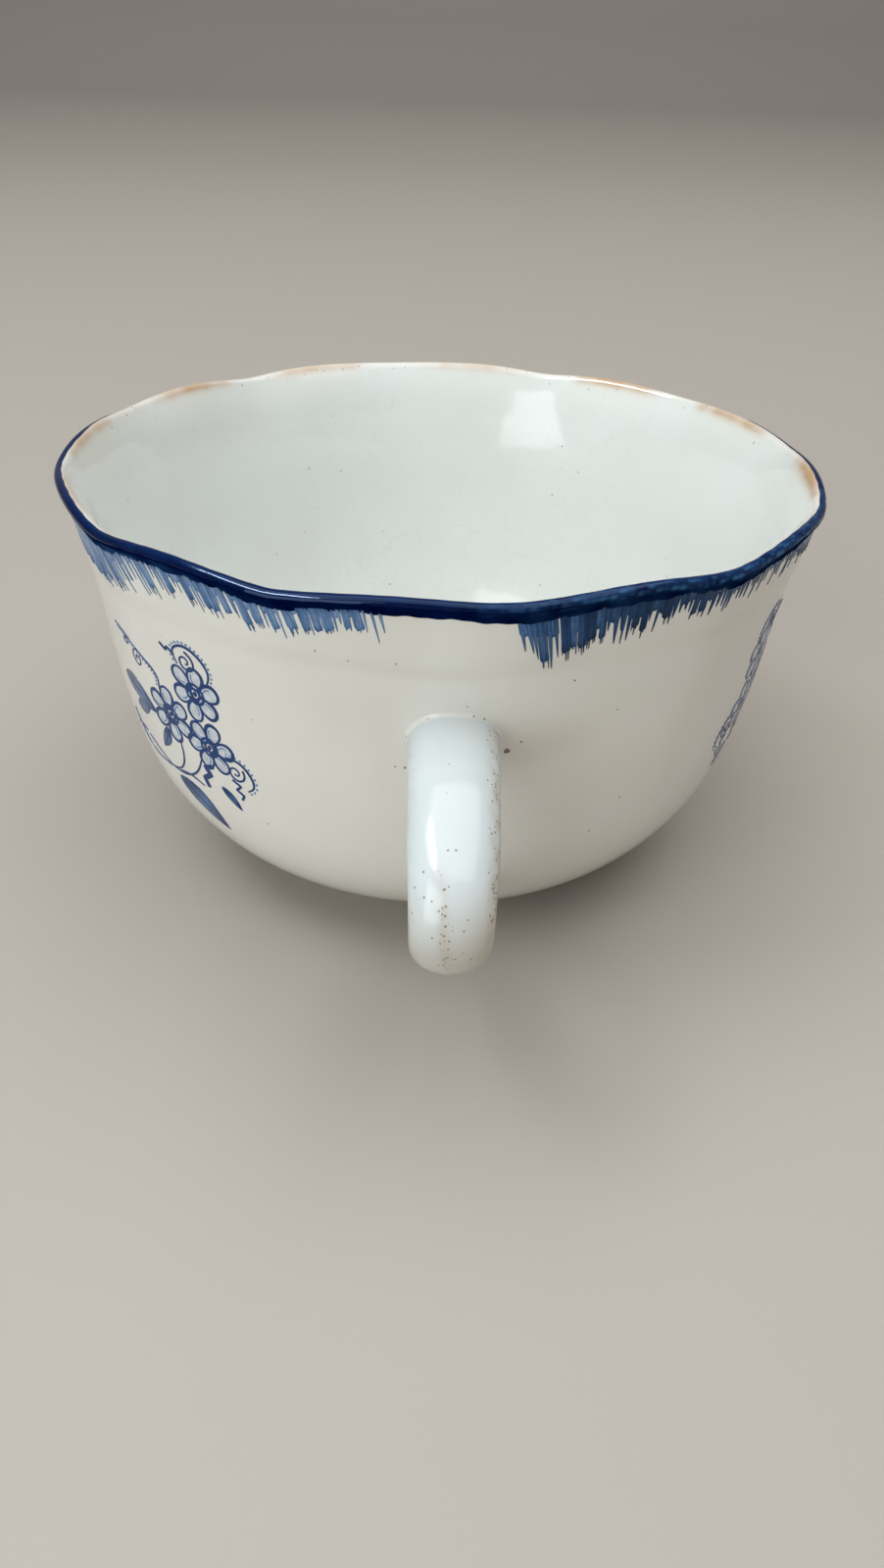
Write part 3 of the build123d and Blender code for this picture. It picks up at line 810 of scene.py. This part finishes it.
def make_spray(side, angle, flip, seed, paint):
    """Flowers with stems, scrolls and leaves, drawn in millimetres from the spray's middle."""
    s = Spray(angle, flip, seed)
    s.flower(9.2, 6.6, 4.3, 0.3)
    s.flower(2.5, 0.7, 4.2, 0.55)
    s.flower(9.8, -1.9, 4.1, 0.1)
    # scrolls above and below the flowers, with a row of fine beads outside
    s.tendril([(11.9, 8.9), (12.6, 11.0), (11.2, 13.2), (8.6, 13.9), (6.6, 12.4), (7.0, 10.6)],
              0.42, beads=-1)
    s.spiral((8.7, 11.4), 1.7, 1.4, 1.5, -1)
    s.zigzag([(4.2, 12.9), (5.2, 12.1), (5.6, 12.7), (6.8, 11.9)], 0.42)
    s.tendril([(12.6, -2.4), (14.9, -2.6), (16.6, -4.3), (16.8, -6.3), (15.6, -7.4)], 0.42, beads=1)
    s.spiral((14.0, -4.7), 1.6, 0.6, 1.5, -1)
    s.zigzag([(13.0, -6.2), (14.4, -7.0), (13.4, -7.9), (14.6, -8.6), (14.0, -9.6)], 0.4)
    # stems and curls on the outer side
    s.tendril([(1.0, 4.2), (1.2, 6.1), (-1.6, 8.2), (-4.4, 9.4), (-7.4, 10.2), (-9.8, 10.4)], 0.36,
              beads=1)
    s.spiral((-3.4, 7.2), 1.5, 1.2, 1.4, 1, 0.3)
    s.spiral((-6.6, 9.0), 1.1, 2.0, 1.3, -1, 0.28)
    # leaves
    s.leaf((-11.6, 1.4), (-1.4, -0.9), 3.6, 0.5)
    s.leaf((-8.6, -2.7), (-3.4, -0.6), 2.4, -0.2, False)
    s.leaf((0.7, -2.4), (-2.3, -6.9), 1.9, 0.3)
    s.leaf((-0.6, -11.6), (8.1, -18.4), 4.4, 0.9)
    s.leaf((10.3, -8.6), (13.4, -11.9), 1.5, 0.2)
    # thin stems gathering under the flowers
    s.tendril([(7.6, -4.4), (5.2, -8.2), (1.2, -10.2), (-2.0, -10.3)], 0.36)
    s.tendril([(3.2, -3.2), (2.8, -6.8), (0.6, -9.6), (-2.0, -10.3)], 0.33)
    s.tendril([(-2.0, -10.3), (-6.0, -8.6), (-10.4, -7.4), (-14.6, -8.8)], 0.33)
    s.tendril([(-1.8, -10.4), (-5.8, -10.6), (-9.6, -9.8), (-13.0, -5.4)], 0.28)
    s.tendril([(0.2, -10.2), (3.4, -9.6), (6.2, -10.3)], 0.33)
    s.zigzag([(9.4, -5.4), (7.7, -6.2), (8.6, -7.2), (6.9, -8.4), (7.4, -10.0)], 0.85)
    make_piece(side + "_spray_print", s.verts, s.faces, paint, "cobalt_print",
               (side + "_print",), np.array(s.tint))


# ---------------- handle, slip and foot


def handle_place(along):
    """Centre and outward normal at a fraction of the handle."""
    i = np.clip(along, 0, 1) * (len(STRAP) - 1)
    k = np.arange(len(STRAP))
    out, depth = (np.interp(i, k, column) for column in STRAP.T)
    d_out, d_depth = (np.interp(i, k, np.gradient(column)) for column in STRAP.T)
    heading = np.array((0, -d_out, -d_depth)) / math.hypot(d_out, d_depth)
    centre = np.array((SKEW * (LEVEL_RADIUS - out), -out, HEIGHT - depth))
    return centre, np.cross(heading, (1, 0, 0))


def handle_ring(along, count=96):
    """Section of the strap: nearly flat to the finger, rounded with a faint ridge outside."""
    centre, normal = handle_place(along)
    upper = 1 - min(along / 0.46, 1.0) ** 2
    lower = 0.2 * max(0.0, (along - 0.78) / 0.22) ** 1.6
    half = (HANDLE_WIDTH + (ROOT_WIDTH - HANDLE_WIDTH) * (upper + lower)) / 2
    thick = HANDLE_THICK / 2 + 0.5 * (max(0.0, 1 - along / 0.32) ** 1.6 + lower)
    uneven = 1 + 0.008 * math.sin(17 * along + 1) + 0.006 * math.sin(41 * along)
    t = np.linspace(0, 2 * math.pi, count, endpoint=False)
    x = np.sign(np.sin(t)) * np.abs(np.sin(t)) ** 0.95 * uneven
    y = np.cos(t)
    worn = min(max((along - 0.35) / 0.25, 0.0), 1.0)
    ridge = 0.03 * worn * hump(x + 0.12, 0.2)
    y = np.where(y > 0, y + ridge, -np.abs(y) ** 0.7 * 0.97)
    return centre + np.outer(x * half, (1, 0, 0)) + np.outer(y * thick, normal)


def handle_looks(points):
    """Cool white glaze with painted shade, warmer and darker low down and on the right side; dirty
    on the right edge and worn ridge; and its wear.
    """
    drift = SKEW * (LEVEL_RADIUS + points[:, 1])
    across, height = (points[:, 0] - drift) / (HANDLE_WIDTH / 2), points[:, 2]
    a, b = points[:, 1] * 1.7, height * 2.3
    blotch = 0.5 + 0.2 * np.sin(a + 2 * points[:, 0]) + 0.2 * np.sin(1.7 * b + 1) \
        + 0.2 * np.sin(0.8 * a - 1.3 * b)
    outside = points[:, 1] < -48
    edge = np.clip((np.abs(across) - 0.72) / 0.28, 0, 1) * blotch
    # painted shade: the strap darker and warmer towards its bottom and on its right side, away from
    # the light
    lowest = np.clip((41 - height) / 8, 0, 1)
    shaded = np.clip(across + 0.2, 0, 1) * np.clip((44 - height) / 8, 0, 1)
    ridge = hump(across + 0.22 - 0.02 * (38 - height), 0.16) * hump(height - 36.0, 6.0, 4) \
        * outside * (0.55 + 0.45 * blotch)
    right_edge = np.clip((across - 0.75) / 0.2, 0, 1) * hump(height - 40, 7, 4) * outside
    # painted shade mixed into the glaze colour
    painted_shade = rows_of(np.clip(0.7 * lowest + 0.4 * shaded, 0, 1))
    dirt = rows_of(np.clip(0.4 * edge * (0.2 + 0.8 * lowest) + 0.55 * right_edge * blotch
                           + 0.50 * ridge, 0, 0.6))
    tint = blend(blend(COOL, PAINTED_SHADE_WARM, painted_shade), GRIME, dirt)
    wear = np.clip(0.008 + 0.05 * edge + 1.1 * ridge + 0.9 * right_edge * blotch
                   + 0.03 * (height < 45) * blotch ** 2 * outside, 0, 1)
    return tint, wear


def wall_gap(points):
    """Distance outwards from the wall's outside to points beside it."""
    depth = HEIGHT - points[..., 2]
    return (np.hypot(points[..., 0], points[..., 1]) - wall_radius(depth)) \
        / np.sqrt(1 + wall_slope(depth) ** 2)


def make_handle():
    """Strap whose two ends stop inside the clay, just under the wall's outside."""
    stations, around = 170, 96
    fine = np.linspace(0, 1, 900)
    lines = np.array([handle_ring(t, around) for t in fine])
    clear = wall_gap(lines) > -ROOT_SINK
    start = fine[np.argmax(clear, axis=0)]
    end = fine[len(fine) - 1 - np.argmax(clear[::-1], axis=0)]
    step = np.linspace(0, 1, stations)
    verts = np.empty((stations, around, 3))
    for j in range(around):
        at = start[j] + (end[j] - start[j]) * step
        for axis in range(3):
            verts[:, j, axis] = np.interp(at, fine, lines[:, j, axis])
    verts = verts.reshape(-1, 3)
    faces = grid_faces(stations, around, wrap_columns=True)
    faces += [tuple(range(around))[::-1],
              tuple(range((stations - 1) * around, stations * around))]
    mat = glaze("handle_glaze", rough=(0.09, 0.20), craze=0.15, specks=0.003)
    make_piece("strap_handle", verts, faces, mat, "handle_glaze", ("handle",),
               *handle_looks(verts), crease=70)


def to_wall(point, lift):
    """Nearest place on the wall to a point, lifted a little."""
    depth = HEIGHT - point[2]
    angle = math.degrees(math.atan2(point[1], point[0]))
    slope = float(wall_slope(depth))
    gap = wall_gap(point)
    return on_wall(np.array(angle), np.array(depth + gap * slope / math.sqrt(1 + slope ** 2)), lift)


def make_slip(name, node, ends, paint):
    """Concave bead of slip from the strap's skin down onto the wall."""
    around, across = 96, 9
    fine = np.linspace(ends[0], ends[1], 160)
    rings = np.array([handle_ring(t, around) for t in fine])
    gaps = wall_gap(rings)
    verts = []
    for j in range(around):
        foot = np.argmin(np.abs(gaps[:, j]))
        crown = np.argmin(np.abs(gaps[:, j] - SLIP_CLIMB))
        a, c = rings[crown, j], rings[foot, j]
        root = to_wall(c, 0.0)
        away = root - to_wall(handle_place(fine[foot])[0], 0.0)
        away /= max(np.linalg.norm(away), 1e-6)
        b = to_wall(c + away * SLIP_SPREAD, 0.012)
        t = np.linspace(0, 1, across)[:, None]
        arc = a * (1 - t) ** 2 + 2 * c * (1 - t) * t + b * t ** 2
        lift = rows_of(np.sin(math.pi * t.ravel())) * 0.05
        arc = arc + lift * (away + (a - c) / max(np.linalg.norm(a - c), 1e-6))
        inside = to_wall(c, -0.8)
        under = [to_wall(b, -0.3), inside, a - (a - c) * 0.3 - away * 0.5]
        verts.append(np.concatenate([arc, under]))
    verts = np.array(verts)
    rows, columns = verts.shape[:2]
    faces = grid_faces(rows, columns, wrap_rows=True, wrap_columns=True)
    toward = np.tile(np.linspace(0, 1, columns), rows)
    tint = blend((COOL + CREAM) / 2, CREAM, rows_of(toward))
    make_piece(name, verts.reshape(-1, 3), faces, paint, "slip_glaze", (node,), tint, crease=75)


def make_foot():
    dense = smooth_line(FOOT, 40)
    dense[:, 0] = np.minimum(dense[:, 0], HEIGHT)

    def plain(angle, depth, radius):
        a = np.radians(angle)
        r = radius + 0.05 * np.sin(7 * a) + 0.03 * np.sin(19 * a + 1)
        return np.stack([r * np.cos(a), r * np.sin(a), HEIGHT - depth], -1)

    faces = [f[::-1] for f in grid_faces(len(dense), FOOT_STEPS, True, True)]
    make_piece("bare_foot", turned(dense, FOOT_STEPS, plain)[0], faces, bare_clay("bare_clay"),
               "bare_clay", ("foot_ring",), crease=60)


# ---------------- build

make_body()
make_lip("cobalt_lip_band", 0.0, LIP_SPLIT, 0.0, (1.0, 1.0, 1.0))
make_lip("cobalt_lip_coat", LIP_SPLIT, 1.0, 0.30, BLUE_SHEEN)
make_border()
print_ink = cobalt("cobalt_print", 0.25, 900.0)
for number, (side, (angle, flip)) in enumerate(SPRAYS.items()):
    make_spray(side, angle, flip, SPRAY_SEED + number, print_ink)
make_handle()
slip_glaze = glaze("slip_glaze", cloud=0.06, rough=(0.06, 0.16), craze=0.3, specks=0.02)
make_slip("upper_slip_bead", "upper_slip_joint", (0.0, 0.22), slip_glaze)
make_slip("lower_slip_bead", "lower_slip_joint", (1.0, 0.78), slip_glaze)
make_foot()

# ---------------- floor, light, camera

FLOOR_LINE = [(-6.0, 0.0), (1.2, 0.0), (1.9, 0.02), (2.3, 0.12), (2.55, 0.35), (2.65, 0.8),
              (2.65, 3.0)]             # metres back and up
FLOOR_HALF_WIDTH, FLOOR_COLOUR, FLOOR_ROUGHNESS = 6.0, (0.48, 0.445, 0.405, 1), 0.6
WORLD_COLOUR, WORLD_STRENGTH = (0.97, 0.95, 0.91, 1), 0.19
DAYLIGHT = (0.89, 0.965, 1.0)


def make_stage():
    mesh = bpy.data.meshes.new("studio_floor")
    verts = [(x, y, z) for y, z in FLOOR_LINE for x in (-FLOOR_HALF_WIDTH, FLOOR_HALF_WIDTH)]
    faces = [(2 * i, 2 * i + 1, 2 * i + 3, 2 * i + 2) for i in range(len(FLOOR_LINE) - 1)]
    mesh.from_pydata(verts, [], faces)
    mesh.polygons.foreach_set("use_smooth", [True] * len(faces))
    obj = bpy.data.objects.new("studio_floor", mesh)
    bpy.context.scene.collection.objects.link(obj)
    mat = bpy.data.materials.new("studio_floor")
    mat.use_nodes = True
    shader = mat.node_tree.nodes["Principled BSDF"]
    shader.inputs["Base Color"].default_value = FLOOR_COLOUR
    shader.inputs["Roughness"].default_value = FLOOR_ROUGHNESS
    mesh.materials.append(mat)


def soft_light(name, azimuth, height, size, radiance, colour, away=1.5, glints_only=False):
    """Bright rectangle as the mug sees it: azimuth from the front to the right, height and size in
    degrees, distance in metres; with glints_only it shows in reflections and lights nothing else.
    """
    a, h = math.radians(azimuth), math.radians(height)
    place = Vector((math.sin(a) * math.cos(h), -math.cos(a) * math.cos(h), math.sin(h))) * away
    data = bpy.data.lights.new(name, "AREA")
    data.shape = "RECTANGLE"
    data.size, data.size_y = (2 * away * math.tan(math.radians(s) / 2) for s in size)
    data.energy = radiance * math.pi * data.size * data.size_y
    data.color = colour
    obj = bpy.data.objects.new(name, data)
    obj.location = place
    obj.rotation_euler = (-place).to_track_quat("-Z", "Y").to_euler()
    obj.visible_diffuse = not glints_only
    bpy.context.scene.collection.objects.link(obj)


make_stage()
soft_light("window_left", -39, 22, (33, 40), 3.3, DAYLIGHT)
soft_light("skylight_left", -85, 58, (22, 14), 4.0, DAYLIGHT)
soft_light("skylight_glare", -84, 60, (30, 4), 55.0, (0.97, 0.98, 1.0), glints_only=True)
soft_light("ceiling", 90, 86, (66, 66), 1.85, (1.0, 0.99, 0.97), 1.7)
world = bpy.data.worlds.new("studio")
bpy.context.scene.world = world
world.use_nodes = True
background = world.node_tree.nodes["Background"]
background.inputs[0].default_value = WORLD_COLOUR
background.inputs[1].default_value = WORLD_STRENGTH
bpy.context.scene.view_settings.view_transform = "Standard"

# The view: eye and aim around the bowl's axis, with a slight roll.
EYE = (-7.594, -177.205, HEIGHT + 54.0)
PITCH, ROLL, TURN = math.radians(32.91), 0.0336, math.radians(3.0)
FOCAL_LENGTH, SENSOR_HEIGHT = 26.88975, 36.0

cos_p, sin_p = math.cos(PITCH), math.sin(PITCH)
forward = Vector((math.sin(TURN) * cos_p, math.cos(TURN) * cos_p, -sin_p))
right = Vector((math.cos(TURN), -math.sin(TURN), 0))
up = right.cross(forward)
turned_right = right * math.cos(ROLL) + up * math.sin(ROLL)
turned_up = up * math.cos(ROLL) - right * math.sin(ROLL)
camera_data = bpy.data.cameras.new("camera")
camera_data.sensor_fit, camera_data.sensor_height = "VERTICAL", SENSOR_HEIGHT
camera_data.lens = FOCAL_LENGTH
camera_data.clip_start = 0.01
camera = bpy.data.objects.new("camera", camera_data)
axes = Matrix((turned_right, turned_up, -forward)).transposed()
eye = Vector((EYE[0], EYE[1] + CENTRE_Y, EYE[2])) / 1000
camera.matrix_world = Matrix.Translation(eye) @ axes.to_4x4()
bpy.context.scene.collection.objects.link(camera)
bpy.context.scene.camera = camera

bpy.context.view_layer.update()
